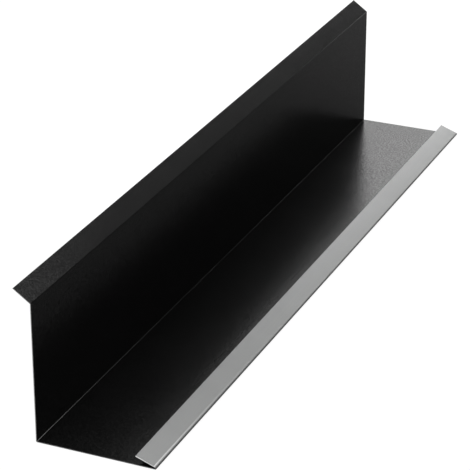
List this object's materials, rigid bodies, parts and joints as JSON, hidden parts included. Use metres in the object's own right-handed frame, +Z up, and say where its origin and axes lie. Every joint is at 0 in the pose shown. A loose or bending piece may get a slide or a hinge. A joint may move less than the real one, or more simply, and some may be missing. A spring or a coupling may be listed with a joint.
{
  "type": "wall abutment flashing",
  "caption": "Folded steel flashing strip with a sloping top lip, an upright wall leg, a level base leg and an open hem along its free edge.",
  "frame": {"origin": "middle of the part's box in plan, on the level that the base leg lies on", "axes": "+Z up, +Y along the length, +X from the wall leg towards the hem"},
  "size_m": [0.163, 1, 0.1809],
  "materials": {
    "weather_coat": "black colour coat with a fine grain and a low satin gloss",
    "back_coat": "thin light grey backing coat, smooth and semi-matt",
    "cut_edge": "bare sheared edge of zinc-coated steel"
  },
  "bodies": {
    "root": {"flashing": "weather_coat"}
  },
  "joints": []
}
